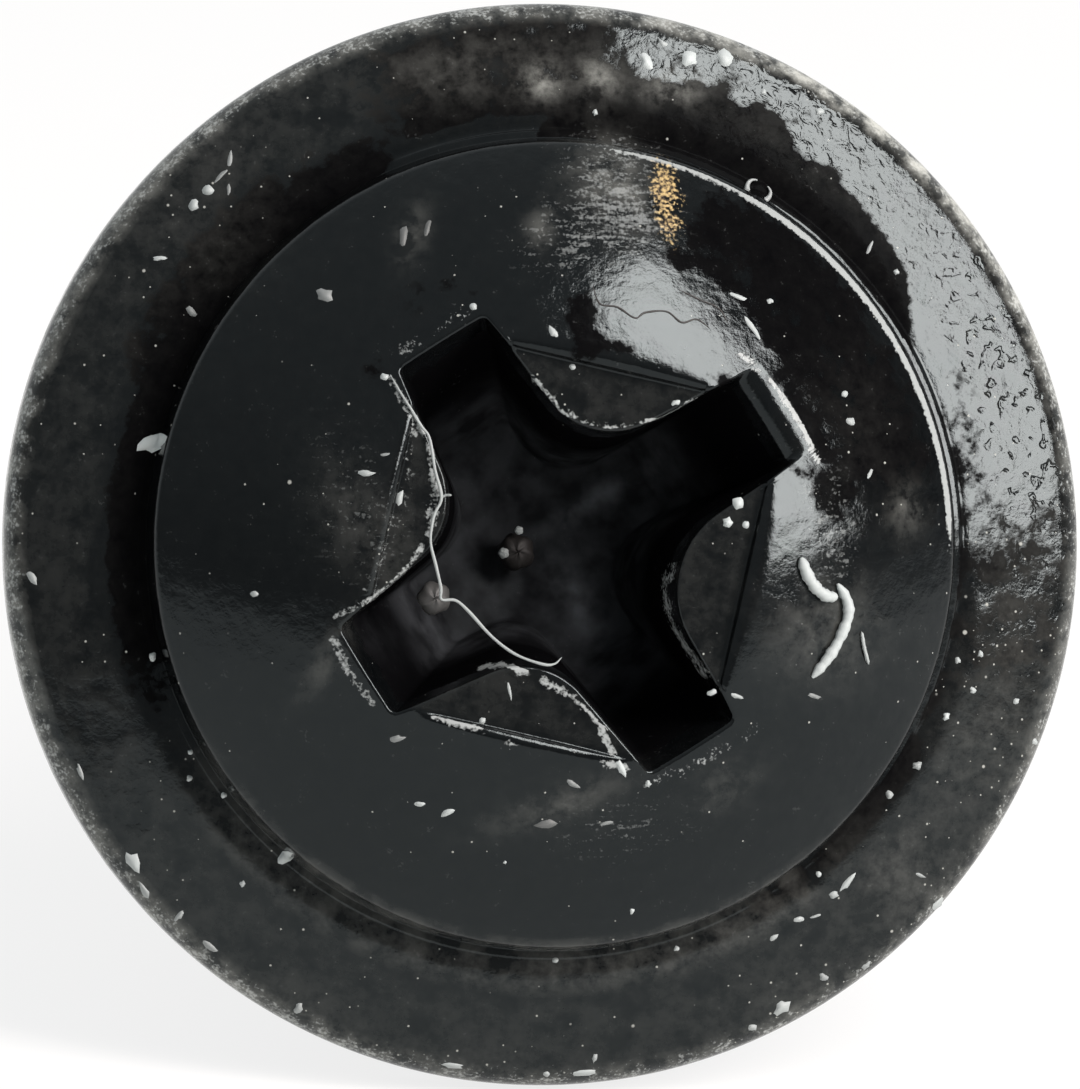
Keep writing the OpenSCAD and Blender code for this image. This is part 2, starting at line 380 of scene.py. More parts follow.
def shank_rings():
    """Rows of the shank, each a helix of the thread's pitch, squared off at both ends.

    A row keeps its place on the thread's profile all the way round, so the crest and the roots
    run along the mesh. Rows past an end are pressed into one level ring there, to be welded.
    The radius is the larger of the core's and the ridge's, with a round between them.
    """
    top_z, low_z = -0.62, -SHANK_L + 0.1
    turns = int(np.ceil((top_z - low_z) / PITCH)) + 3
    phase = (np.arange(-2, turns)[:, None] + TURN_PHASES).ravel()
    a = RECESS_TURN + 360 * np.arange(SHANK_RAYS) / SHANK_RAYS
    start = -90 - 360 * (crest_at_rest() - THREAD_BOTTOM) / PITCH
    share = ((a - start) / 360) % 1.0
    lift = np.where(np.arange(SHANK_RAYS) > 0, np.mod(share - share[0], 1.0), 0.0) + share[0]
    z = np.clip(THREAD_BOTTOM + PITCH * (phase[:, None] + lift), low_z, top_z)
    off = (z - THREAD_BOTTOM) / PITCH - lift
    off = (off - np.round(off)) * PITCH
    ridge = crest(z - off) - np.maximum(np.abs(off) - CREST_W / 2, 0) / tan(FLANK_ANGLE / 2)
    base = core(z)
    gap = np.maximum(ROOT_ROUND - np.abs(ridge - base), 0)
    r = np.maximum(ridge, base) + gap * gap / (4 * ROOT_ROUND)
    return np.dstack([r * cos(a), r * sin(a), z])


# ------------------------------------------------------------------ from rings to a mesh


def band(first, second):
    """Triangles between two closed rings of vertex numbers."""
    a, b = first, second
    c, d = np.roll(second, -1), np.roll(first, -1)
    return np.vstack([np.column_stack([a, b, c]), np.column_stack([a, c, d])])


def screw_mesh():
    """The whole screw as one closed skin: welded points in the screw's frame, and triangles.

    The head's rings and the shank's rows are joined where four of the head's points meet one of
    the shank's, and both ends are closed with a point on the axis.
    """
    rings, apex_z = head_rings()
    rows = shank_rings()
    head = np.arange(rings.shape[0] * RAYS).reshape(-1, RAYS)
    shank = head.size + np.arange(rows.shape[0] * SHANK_RAYS).reshape(-1, SHANK_RAYS)
    tip_r = np.array([0.082, 0.062, 0.03])
    tip_z = -SHANK_L + np.array([0.06, 0.025, 0.004])
    a = RECESS_TURN + 360 * np.arange(SHANK_RAYS) / SHANK_RAYS
    tips = np.dstack([tip_r[:, None] * cos(a), tip_r[:, None] * sin(a),
                      np.repeat(tip_z[:, None], SHANK_RAYS, 1)])
    tip = shank[-1, -1] + 1 + np.arange(tips.shape[0] * SHANK_RAYS).reshape(-1, SHANK_RAYS)
    apex, end = tip[-1, -1] + 1, tip[-1, -1] + 2
    points = np.vstack([rings.reshape(-1, 3), rows.reshape(-1, 3), tips.reshape(-1, 3),
                        [[0, 0, apex_z], [0, 0, -SHANK_L]]])

    faces = [band(head[i], head[i + 1]) for i in range(len(head) - 1)]
    per_turn = len(TURN_PHASES)
    for i in range(len(shank) - 1):
        low, high = shank[i], shank[i + 1]
        ahead_low = np.append(low[1:], shank[min(i + per_turn, len(shank) - 1), 0])
        ahead_high = np.append(high[1:], shank[min(i + 1 + per_turn, len(shank) - 1), 0])
        faces += [np.column_stack([low, ahead_low, ahead_high]), np.column_stack([low, ahead_high, high])]
    fine = head[-1].reshape(SHANK_RAYS, 4)
    near, far = shank[-1], np.roll(shank[-1], -1)
    beyond = np.roll(fine[:, 0], -1)
    faces += [np.column_stack(t) for t in (
        (near, fine[:, 0], fine[:, 1]), (near, fine[:, 1], fine[:, 2]), (near, fine[:, 2], far),
        (far, fine[:, 2], fine[:, 3]), (far, fine[:, 3], beyond))]
    faces += [band(shank[0], tip[0])] + [band(tip[i], tip[i + 1]) for i in range(len(tip) - 1)]
    faces += [np.column_stack([head[0], np.roll(head[0], -1), np.full(RAYS, apex)]),
              np.column_stack([tip[-1], np.roll(tip[-1], -1), np.full(SHANK_RAYS, end)])]
    faces = np.vstack(faces)

    _, keep, number = np.unique(np.round(points, 5), axis=0, return_index=True, return_inverse=True)
    faces = number.ravel()[faces]
    whole = ((faces[:, 0] != faces[:, 1]) & (faces[:, 1] != faces[:, 2]) & (faces[:, 2] != faces[:, 0]))
    return points[keep], faces[whole]


def make_piece(name, points, faces, material, **layers):
    """A smooth mesh object from points in the screw's frame and triangles, its faces turned outwards.

    Its attribute screw_mm keeps each point's place in the screw's frame, and each further layer a
    number per point, for the materials.
    """
    mesh = bpy.data.meshes.new(name)
    mesh.from_pydata(place(points).tolist(), [], faces.tolist())
    work = bmesh.new()
    work.from_mesh(mesh)
    bmesh.ops.recalc_face_normals(work, faces=work.faces)
    work.to_mesh(mesh)
    work.free()
    mesh.polygons.foreach_set("use_smooth", np.ones(len(mesh.polygons), bool))
    layer = mesh.attributes.new("screw_mm", "FLOAT_VECTOR", "POINT")
    layer.data.foreach_set("vector", np.asarray(points, np.float32).ravel())
    for key, values in layers.items():
        layer = mesh.attributes.new(key, "FLOAT", "POINT")
        layer.data.foreach_set("value", np.asarray(values, np.float32))
    mesh.materials.append(material)
    mesh.update()
    piece = bpy.data.objects.new(name, mesh)
    bpy.context.scene.collection.objects.link(piece)
    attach(piece, "root")
    return piece


# ------------------------------------------------------------------ wear, dirt and painted light


# Rims and edges worn light: points in millimetres from the axis, half width, strength
WORN_LINES = [
    ([(-2.14, -0.87), (-1.99, -1.19), (-1.79, -1.45)], 0.04, 0.64),
    ([(-1.25, -1.58), (-0.84, -1.68), (-0.54, -1.79), (-0.13, -1.86), (0.27, -1.95), (0.54, -2.04)], 0.026, 1.2),
    ([(-0.92, -1.13), (-0.57, -1.1), (-0.33, -1.18), (-0.05, -1.35), (0.16, -1.52), (0.34, -1.69)], 0.022, 1.2),
    ([(1.01, -0.18), (0.94, -0.39), (0.99, -0.69), (1.11, -0.92), (1.3, -1.2)], 0.022, 0.72),
    ([(-0.32, 1.53), (-0.04, 1.2), (0.2, 1.1), (0.42, 1.07), (0.89, 1.16), (1.17, 1.34)], 0.02, 0.66),
    ([(0.3, -1.7), (0.42, -1.9)], 0.04, 0.9),
    ([(1.6, 1.74), (1.78, 1.6), (1.98, 1.38), (2.17, 1.09), (2.33, 0.76)], 0.028, 1.0),
    ([(-1.51, 1.77), (-1.16, 2.01), (-0.88, 2.15)], 0.06, 0.35),
    ([(0.74, -2.2), (1.27, -1.97), (1.78, -1.69)], 0.05, 0.35),
    ([(-1.33, -0.01), (-1.53, -0.28), (-1.77, -0.48), (-2.14, -0.66)], 0.03, 0.72),
    ([(-1.41, 1.07), (-1.52, 0.42), (-1.77, -0.19), (-1.91, -0.42)], 0.05, 0.28),
    ([(-1.62, 1.5), (-1.5, 1.27), (-1.28, 0.96), (-1.22, 0.5), (-1.28, 0.1)], 0.04, 0.72)]

# Soft patches: place, half length and half width in millimetres, turn in degrees, strength
SCUFFS = [(0.5, 3.25, 0.4, 0.4, 20, 0.55), (0.2, 2.8, 0.55, 0.3, 10, 0.33), (0.7, 3.6, 0.3, 0.1, -12, 0.25),
          (0.72, 2.95, 0.3, 0.2, 0, 0.35),
          (2.45, 0.1, 0.22, 0.5, 10, 0.35), (-1.9, 0.3, 0.5, 0.9, 20, 0.12), (0.5, -2.6, 0.7, 0.3, 5, 0.15)]
RUST = [(1.0, 3.17, 0.17, 0.46, 5, 1.7), (-0.09, 4.26, 0.16, 0.16, 0, 0.45), (0.45, 4.32, 0.16, 0.16, 0, 0.45),
        (1.14, 4.21, 0.25, 0.12, 0, 0.4), (2.3, 2.2, 0.3, 0.15, -50, 0.3)]

# Black painted shade round the pan's foot and over the edges of the bright band, laid where the gloss
# would show light: from and to in degrees, from and to in millimetres, strength; and its outer edge
# beside the bright band, and its soft patches of painted shade on the dome
SHADE_BANDS = [(112, 200, 3.72, 4.1, 1.0), (124, 158, 4.0, 4.35, 0.7), (-62, -26, 3.76, 3.98, 0.8), (-30, 4, 3.8, 3.9, 0.7),
         (79, 112, 3.95, 4.85, 0.75), (-18, 7, 3.85, 4.9, 0.5), (-6, 23, 3.77, 4.16, 0.47),
         (56, 80, 4.45, 4.76, 0.3)]
SHADE_BANDS_TO = [(26, 3.79), (32, 3.93), (37, 4.15), (42, 4.24), (47, 4.27), (52, 4.36), (57, 4.35), (62, 4.5), (67, 4.46),
            (72, 4.5), (77, 4.4), (84, 4.3), (92, 3.8)]
DOME_SHADE = [(2.62, 1.75, 1.35, 0.5, -52, 0.75), (1.95, 2.75, 0.7, 0.35, -30, 0.6), (2.95, 0.75, 0.5, 0.3, -75, 0.55),
        (1.35, 2.75, 0.25, 0.4, 0, 0.5), (-1.05, 2.35, 0.35, 0.2, 20, 0.35), (-1.75, 1.6, 0.25, 0.5, 30, 0.3),
        (0.16, 2.0, 0.2, 0.36, 0, 0.72), (0.45, 1.8, 0.35, 0.09, -20, 0.7), (2.1, 0.68, 0.18, 0.09, -20, 0.7), (1.42, 1.5, 0.16, 0.1, -30, 0.7),
        (2.5, 0.44, 0.22, 0.5, 10, 0.75), (2.13, 1.3, 0.5, 0.1, -60, 0.6), (1.05, 2.62, 0.35, 0.1, -20, 0.5), (1.95, 1.9, 0.65, 0.13, -48, 0.55)]

# Pale film of dirt, faint lights in the recess and where small dust gathers, in soft patches as above
FILM = [(-0.7, 4.35, 0.9, 0.3, 0, 0.03), (3.2, 0.32, 0.16, 0.22, 0, 0.09), (-0.05, 4.26, 0.17, 0.15, 0, 0.26), (0.48, 4.31, 0.16, 0.17, 0, 0.24), (1.16, 4.2, 0.26, 0.13, 0, 0.2),
        (-1.37, 2.83, 0.25, 0.12, 70, 0.08), (-0.2, 2.9, 0.22, 0.12, 60, 0.09), (2.4, -0.75, 0.5, 0.45, 0, 0.06),
        (-0.07, -2.37, 0.6, 0.12, 20, 0.06), (-2.2, -1.05, 0.12, 0.38, -30, 0.06), (-1.95, 0.25, 0.25, 0.5, 20, 0.03),
        (3.35, -3.1, 0.7, 0.4, -45, 0.03), (0.5, 3.3, 0.3, 0.4, 20, 0.14), (1.5, -2.2, 0.3, 0.2, 30, 0.04)]
GLEAMS = [(0.5, 0.39, 0.4, 0.1, 34, 1.0), (0.36, -0.5, 0.45, 0.14, -63, 0.8), (-1.7, -0.85, 0.35, 0.2, -30, 0.06)]
DUST = [(-3.02, 2.74, 0.55, 0.35, 45, 0.5), (-3.15, -2.09, 0.5, 0.25, -60, 0.35), (4.3, -0.98, 0.5, 0.9, 0, 0.9),
        (3.9, -1.8, 0.5, 0.5, 0, 0.6), (-1.9, 0.25, 0.35, 0.6, 20, 0.6), (-0.05, -2.46, 0.7, 0.28, 0, 0.4),
        (2.72, 1.05, 0.4, 0.6, 0, 0.35), (-2.2, -4.3, 0.7, 0.2, -28, 0.8), (-3.15, 3.48, 0.8, 0.25, 48, 0.7),
        (-0.83, -4.78, 0.9, 0.16, 0, 0.7), (2.23, -4.23, 0.7, 0.22, 30, 0.7), (-0.55, 4.5, 0.9, 0.25, 5, 0.4)]

# Flecks of dust, and three white flecks of painted highlight on the collar's top where the bright band
# breaks up: place in millimetres, length and width in hundredths of them, turn, lightness in tenths
FLECKS_AND_GLINTS = [
    (-3.28, 3.12, 16, 12, 40, 8), (-3.15, 3.26, 14, 13, 0, 8), (-3.03, 3.39, 30, 6, 45, 4),
    (-2.94, 3.55, 22, 6, 80, 5), (-2.96, 3.26, 18, 5, 85, 4), (-3.60, 2.63, 18, 6, 2, 9),
    (-3.32, 2.14, 18, 9, -50, 4), (-3.69, 0.93, 34, 19, 28, 10), (-2.18, 2.28, 21, 17, 0, 4),
    (-1.86, 0.65, 20, 8, 2, 8), (-1.69, 0.82, 16, 4, 5, 5), (-1.55, 0.42, 20, 8, 65, 8),
    (-2.84, -0.45, 10, 8, 0, 7), (-1.45, 2.84, 30, 9, 80, 2), (-1.23, 2.90, 25, 8, 70, 2),
    (-0.14, 1.94, 16, 8, -60, 8), (0.04, 1.62, 9, 8, 0, 8), (-0.86, 2.17, 10, 9, 0, 8),
    (-1.68, 1.53, 12, 9, 0, 9), (0.42, 3.98, 8, 8, 0, 9), (-4.76, -0.31, 20, 9, -55, 6),
    (-3.68, -1.03, 12, 9, 70, 10), (-3.33, -1.91, 8, 8, 0, 10), (-3.34, -2.15, 8, 8, 0, 8),
    (-3.02, -2.30, 8, 8, 0, 10), (-2.46, -2.88, 17, 14, 40, 10), (-2.84, -3.12, 8, 8, 0, 8),
    (-1.33, -2.37, 14, 7, 0, 9), (-1.08, -2.45, 18, 8, 20, 9), (-0.53, -2.91, 5, 5, 0, 9),
    (-3.83, -2.93, 32, 14, -58, 8), (-3.72, -3.19, 22, 8, -60, 6), (-3.40, -3.42, 15, 8, 60, 6),
    (-3.12, -3.70, 24, 7, -40, 5), (-4.32, -2.08, 24, 6, -70, 6), (-2.30, -4.27, 14, 10, 50, 6),
    (-0.86, -4.81, 32, 7, -6, 8), (0.01, -4.89, 9, 7, 0, 8), (0.05, -3.83, 8, 8, 0, 9),
    (-1.56, -1.77, 20, 8, 10, 4), (-0.79, -1.61, 11, 8, 40, 8), (-0.54, -1.33, 26, 4, -80, 7),
    (2.80, -0.96, 32, 5, -78, 6), (2.31, -1.39, 20, 6, -20, 4), (1.33, -1.35, 14, 7, 10, 8),
    (1.56, -1.39, 18, 6, -15, 7), (3.69, -1.59, 10, 9, 0, 10), (4.58, -1.83, 9, 8, 0, 8),
    (3.42, -2.04, 14, 11, 0, 6), (3.16, -2.31, 11, 10, 0, 7), (2.50, -3.04, 8, 8, 0, 10),
    (2.78, -3.12, 30, 8, 50, 8), (2.65, -3.24, 14, 9, 20, 7), (2.32, -3.46, 16, 7, 5, 8),
    (2.49, -3.43, 18, 4, 15, 6), (2.09, -3.63, 14, 6, 35, 7), (3.48, -3.06, 18, 5, -20, 6),
    (3.68, -3.34, 22, 11, 48, 8), (3.00, -3.90, 14, 8, 45, 6), (2.59, -4.00, 12, 10, 0, 6),
    (2.20, -4.28, 22, 15, 35, 8), (1.93, -4.47, 11, 9, 0, 7), (0.45, -4.74, 12, 7, 80, 7),
    (0.37, -4.88, 36, 8, 6, 9), (1.18, -3.73, 8, 7, 0, 10), (0.68, -3.37, 7, 7, 0, 10),
    (0.75, -2.19, 9, 8, 0, 8), (0.49, -2.04, 26, 9, -62, 10), (0.05, -2.19, 19, 7, -25, 4),
    (0.38, -2.55, 16, 5, 15, 4), (-0.18, -2.56, 30, 10, 5, 2), (4.02, -1.01, 8, 8, 0, 8),
    (3.80, -1.07, 8, 8, 0, 8), (3.95, -1.35, 10, 8, 0, 8), (4.38, -1.45, 10, 8, 0, 8),
    # these three are white flecks of painted highlight, where the bright band breaks up on the collar's top
    (0.92, 4.46, 26, 14, -70, 10), (1.32, 4.49, 22, 19, 0, 10), (1.66, 4.49, 27, 22, -60, 9),
    (1.09, 4.63, 15, 7, -30, 8), (2.02, 4.18, 9, 8, 0, 8), (2.54, 4.00, 12, 10, 0, 8),
    (1.92, 2.23, 10, 7, -20, 8), (1.61, 2.27, 24, 6, -22, 8), (1.74, 1.98, 38, 6, -55, 8),
    (2.98, 2.74, 18, 5, 65, 6), (3.23, 2.52, 9, 8, 0, 8), (2.61, 1.38, 9, 8, 0, 8),
    (2.66, 1.13, 13, 9, -20, 7), (2.84, 0.65, 18, 5, 60, 7), (0.99, 1.30, 11, 7, 25, 9),
    (1.57, 0.37, 16, 13, 70, 10), (1.47, 0.20, 14, 13, 0, 10), (1.64, 0.18, 14, 9, 80, 10),
]

# Loose hairs, and two dark lines of painted shade along cracks in the dome, the last two: points with
# their height over the head's upper side, half width, lightness
HAIRS_AND_CRACK_SHADE = [
    ([(-1.63, 1.55, 0.02), (-1.51, 1.33, 0.02), (-1.36, 1.09, 0.03), (-1.28, 0.97, 0.05), (-1.23, 0.68, 0.06),
      (-1.17, 0.43, 0.05), (-1.24, 0.26, 0.05), (-1.27, 0.03, 0.05), (-1.22, -0.19, 0.04), (-1.17, -0.39, 0.0),
      (-1.16, -0.5, -0.03), (-1.03, -0.51, -0.04), (-0.91, -0.61, -0.04), (-0.7, -0.84, -0.02),
      (-0.49, -1.0, 0.02), (-0.25, -1.09, 0.04), (-0.13, -1.09, 0.03), (-0.06, -1.03, 0.02)], 0.014, 0.7),
    ([(-1.17, 0.43, 0.05), (-1.13, 0.45, 0.06), (-1.08, 0.45, 0.08)], 0.012, 0.6),
    ([(2.15, -0.12, 0.02), (2.21, -0.27, 0.03), (2.29, -0.39, 0.04), (2.4, -0.47, 0.04), (2.51, -0.48, 0.03)],
     0.055, 0.9),
    ([(2.51, -0.36, 0.02), (2.6, -0.5, 0.04), (2.62, -0.64, 0.05), (2.57, -0.79, 0.05), (2.49, -0.95, 0.04),
      (2.39, -1.09, 0.03), (2.28, -1.22, 0.01)], 0.05, 0.9),
    ([(2.76, -0.8, 0.01), (2.79, -0.95, 0.02), (2.84, -1.1, 0.01)], 0.018, 0.7),
    # two dark lines of painted shade along cracks in the dome
    ([(0.24, 2.37, -0.002), (0.3, 2.2, 0.0), (0.46, 2.17, 0.001), (0.62, 2.07, 0.0), (0.72, 2.12, 0.001),
      (0.92, 2.13, 0.0), (1.06, 2.03, 0.001), (1.2, 2.06, 0.0), (1.32, 1.98, -0.002)], 0.009, -0.3),
    ([(1.05, 2.33, -0.002), (1.24, 2.24, 0.001), (1.42, 2.16, 0.0), (1.5, 2.02, -0.002)], 0.008, -0.3)]

# The burr on the ledge: middle, radius and half width of its curled edge
BURR = (1.92, 3.25, 0.11, 0.046)

# Round lumps in the recess: place, radius in millimetres, lightness
LUMPS = [(-1.19, -0.49, 1.97, 0.15, 0.05), (-0.21, -0.07, 0.16, 0.17, 0.0), (-0.2, 0.13, 0.3, 0.04, 1.0),
         (-0.34, -0.08, 0.28, 0.05, 0.8), (1.66, 1.23, 1.2, 0.035, 0.8)]


def near_line(x, y, line):
    """Distance of points from a broken line: the least over its pieces."""
    best = np.full(len(x), np.inf)
    for (ax, ay), (bx, by) in zip(line[:-1], line[1:]):
        t = np.clip(((x - ax) * (bx - ax) + (y - ay) * (by - ay)) / ((bx - ax) ** 2 + (by - ay) ** 2), 0, 1)
        best = np.minimum(best, np.hypot(x - ax - t * (bx - ax), y - ay - t * (by - ay)))
    return best


def patches(x, y, spots):
    """Sum of soft elliptical patches, each falling from its strength to nothing as a bell curve."""
    total = np.zeros(len(x))
    for px, py, a, b, turn, strength in spots:
        u = (x - px) * cos(turn) + (y - py) * sin(turn)
        v = (y - py) * cos(turn) - (x - px) * sin(turn)
        total += strength * np.exp(-(u / a) ** 2 - (v / b) ** 2)
    return total


def bands(side, r, spots):
    """The strongest of soft-edged bands, each between two angles and two distances from the axis."""
    most = np.zeros(len(r))
    for first, last, near, far, strength in spots:
        across = smooth((r - near) / 0.05 + 0.5) * smooth((far - r) / 0.25 + 0.5)
        round_ = smooth((side - first) / 14 + 0.5) * smooth((last - side) / 14 + 0.5)
        most = np.maximum(most, strength * across * round_)
    return most


def wear_layers(points):
    """Numbers per point for the plating, one layer for each kind of wear and dirt, and for the painted shade, gleams
    and highlights.
    """
    x, y, z = points.T
    r = np.hypot(x, y)
    deep = (r < 1.3) & (z > -0.65) & (z < 1.9)
    upper = (z > 0.03) | deep
    rim = (z > 1.75) & (r < 3)
    worn = np.zeros(len(x))
    for line, width, strength in WORN_LINES:
        worn = np.maximum(worn, rim * strength * smooth(1.5 - near_line(x, y, line) / width))
    edge = smooth((r - 4.8) / 0.16) * (z > -0.02)
    side = np.degrees(np.arctan2(y, x))
    side = np.where(side < -150, side + 360, side)
    worn = np.maximum(worn, edge * (0.5 - 0.12 * smooth(x / 4) * smooth((15 - side) / 20)))
    # a bright line painted along the pan's rounded edge on the upper right, where its round would catch the softbox:
    # a painted highlight
    line_r = 3.653 - 0.01 * smooth((side - 56) / 7)
    ledge = smooth(1.6 - np.abs(r - line_r) / 0.023) * (z > 0.99) * (z < 1.72)
    worn = np.maximum(worn, 2.1 * ledge * smooth((side + 3) / 9) * smooth((85 - side) / 7))
    # black painted shade fills the recess, where shade falls in it
    inside = smooth((2.12 - z) / 0.2) * (r < 2.3) * upper
    creased = (smooth((r - 4.0) / 0.2) * (z > 0.3) * (z < 1.03)
               * (0.14 + 0.9 * np.exp(-((side - 62) / 14) ** 2)))
    pitted = 0.75 * smooth((r - 4.1) / 0.2) * (z > 0.3) * np.exp(-((side - 14) / 22) ** 2) + 0.04
    # black painted shade round the pan's foot and over the bright band's edges, from the bands
    painted_shade = np.maximum(np.where(upper & (z < np.where(r > 3.78, 1.1, 1.03)), bands(side, r, SHADE_BANDS), 0), inside)
    # painted shade from the pan's foot out to the bright band's inner outline
    far = np.interp(side, *np.array(SHADE_BANDS_TO).T)
    beside = smooth((r - 3.765 + 0.025 * smooth((side - 52) / 8)) / 0.02) * smooth((far - r) / 0.2 + 0.5) * (side > 26) * (side < 92) * (z < 1.1) * upper
    painted_shade = np.maximum(painted_shade, beside)
    # soft patches of painted shade on the dome, keeping the lamp's reflection to its outline
    painted_shade = np.maximum(painted_shade, (z > 1.3) * (r < 3.76) * patches(x, y, DOME_SHADE))
    turned = np.mod(side, 360)
    # a pale band of painted light round the pan's lower foot, over its dark reflection
    ring = smooth((r - 3.6) / 0.1) * smooth((4.2 - r) / 0.15) * smooth((turned - 205) / 20) * smooth((318 - turned) / 16)
    c, d = cos(RECESS_TURN), sin(RECESS_TURN)
    xr, yr = x * c + y * d, y * c - x * d
    land = smooth((-0.02 - past_lands(xr, yr)) / 0.06) * (np.abs(z - LAND_Z) < 0.02)
    low_right = np.exp(-((side + 28) / 30) ** 2) * smooth((r - 3.8) / 0.4)
    dusty = np.where(upper, 0.1 + 0.16 * smooth((r - 3.7) / 0.5) + 0.4 * low_right + 0.12 * land
                     + patches(x, y, DUST), 0.15)
    # pale film, in part real and in part a painted highlight on the collar's rim near 50 degrees
    film_and_painted_light = 0.012 * smooth((r - 4.1) / 0.2) * upper * (z > 0.3) + (patches(x, y, FILM) * (1 - inside) + 0.012 * land + 0.05 * ring * (z > 0.7) + edge * (0.13 + 0.1 * smooth(-x / 4) + 0.5 * np.exp(-((side - 50) / 26) ** 2))) * upper
    brown = patches(x, y, RUST) + 0.35 * edge
    # deep lightens the recess's painted shade: painted gleams in patches, and lighter toward its floor
    return {"worn": worn, "scuffed": upper * patches(x, y, SCUFFS), "rusty": upper * brown,
            "shade_cover": np.clip(painted_shade, 0, 1), "film_and_painted_light": film_and_painted_light, "creased": creased, "pitted": pitted,
            "deep": inside * (0.35 * smooth((1.3 - z) / 0.9) + patches(x, y, GLEAMS)), "dusty": dusty * (1 - inside)}


def fleck_mesh():
    """Flat lumps that lie on the head: an uneven oval, thickest in the middle, its edge sunk in."""
    steps, levels = 10, np.array([0.5, 0.85, 1.0])
    a = np.arange(steps) * 36.0
    points, faces, light = [], [], []
    rng = np.random.default_rng(11)
    for x, y, length, width, turn, tone in FLECKS_AND_GLINTS:
        uneven = 1 + 0.16 * rng.standard_normal(steps)
        u = np.append(0, (levels[:, None] * 0.0037 * length * uneven * cos(a)).ravel())
        v = np.append(0, (levels[:, None] * 0.0039 * width * uneven * sin(a)).ravel())
        rise = np.append(1, np.repeat(1 - levels ** 2, steps)) * 0.0035 * min(width, 12) - 0.004
        px, py = x + u * cos(turn) - v * sin(turn), y + u * sin(turn) + v * cos(turn)
        first = len(light)
        rings = first + 1 + np.arange(3 * steps).reshape(3, steps)
        faces += [np.column_stack([np.full(steps, first), rings[0], np.roll(rings[0], -1)]),
                  band(rings[0], rings[1]), band(rings[1], rings[2])]
        points.append(np.column_stack([px, py, top_height(px, py) + rise]))
        light += [0.1 * tone] * (1 + 3 * steps)
    return np.vstack(points), np.vstack(faces), np.array(light)


def burr_mesh():
    """A small ring of metal curled up on the ledge, open at its outer side and leaning with the slope."""
    x, y, radius, half = BURR
    turn, round_ = np.meshgrid(np.linspace(-150, 150, 41), np.arange(12) * 30.0, indexing="ij")
    thick = half * (0.55 + 0.45 * cos(turn))
    reach = radius * (1 + 0.12 * cos(3 * turn)) + thick * cos(round_)
    away = turn + BURR_SIDE + 180
    ring = np.dstack([x + reach * cos(away), y + reach * sin(away), 1.085 + 0.3 * radius * cos(turn) + thick * sin(round_)])
    rows = np.arange(41 * 12).reshape(41, 12)
    points = np.vstack([ring.reshape(-1, 3), ring[0].mean(0), ring[-1].mean(0)])
    caps = [np.column_stack([np.full(12, 492), rows[0], np.roll(rows[0], -1)]),
            np.column_stack([np.full(12, 493), rows[-1], np.roll(rows[-1], -1)])]
    return points, np.vstack([band(rows[i], rows[i + 1]) for i in range(40)] + caps)


def hair_and_crack_mesh():
    """Tubes along smooth lines over the head, thinned to a tip at both ends, and round lumps."""
    points, faces, light = [], [], []
    for line, half, tone in HAIRS_AND_CRACK_SHADE:
        knots = np.array(line)
        ends = np.vstack([2 * knots[0] - knots[1], knots, 2 * knots[-1] - knots[-2]])
        t = np.linspace(0, 1, 7)[:-1, None]
        way = [0.5 * ((2 * b) + (c - a) * t + (2 * a - 5 * b + 4 * c - d) * t ** 2
                      + (3 * b - a - 3 * c + d) * t ** 3)
               for a, b, c, d in zip(ends[:-3], ends[1:-2], ends[2:-1], ends[3:])]
        way = np.vstack(way + [knots[-1:]])
        way[:, 2] += top_height(way[:, 0], way[:, 1])
        along = np.gradient(way, axis=0)
        across = np.column_stack([along[:, 1], -along[:, 0], 0 * along[:, 0]])
        across /= np.linalg.norm(across, axis=1)[:, None]
        up = np.cross(across, along)
        up /= np.linalg.norm(up, axis=1)[:, None]
        share = np.linspace(0, 1, len(way))
        radius = half * np.sqrt(np.clip(4 * np.minimum(share, 1 - share) * 2, 0.05, 1))
        radius = radius * (1 + 0.1 * np.sin(9 * share * np.pi) + 0.08 * np.sin(23 * share * np.pi))
        a = np.arange(8) * 45.0
        tube = (way[:, None] + radius[:, None, None] * (cos(a)[None, :, None] * across[:, None]
                                                       + sin(a)[None, :, None] * up[:, None]))
        first = len(light)
        rows = first + np.arange(len(way) * 8).reshape(-1, 8)
        faces += [band(rows[i], rows[i + 1]) for i in range(len(rows) - 1)]
        points.append(tube.reshape(-1, 3))
        light += [tone] * tube.shape[0] * 8
    for x, y, z, radius, tone in LUMPS:
        lat, lon = np.meshgrid(np.linspace(0, 180, 13), np.arange(24) * 15.0, indexing="ij")
        uneven = 1 + 0.08 * np.sin(5 * np.radians(lon) + 3 * np.radians(lat))
        ball = np.dstack([sin(lat) * cos(lon), sin(lat) * sin(lon), 0.8 * cos(lat)]) * (radius * uneven)[:, :, None]
        first = len(light)
        rows = first + np.arange(13 * 24).reshape(13, 24)
        faces += [band(rows[i], rows[i + 1]) for i in range(12)]
        points.append((ball + [x, y, z]).reshape(-1, 3))
        light += [tone] * (13 * 24)
    return np.vstack(points), np.vstack(faces), np.array(light)


# ------------------------------------------------------------------ materials


def colour(code, alpha=1.0):
    """Linear colour of an sRGB hex code."""
    part = np.array([int(code[i:i + 2], 16) for i in (1, 3, 5)]) / 255
    linear = np.where(part <= 0.04045, part / 12.92, ((part + 0.055) / 1.055) ** 2.4)
    return (*linear.tolist(), alpha)


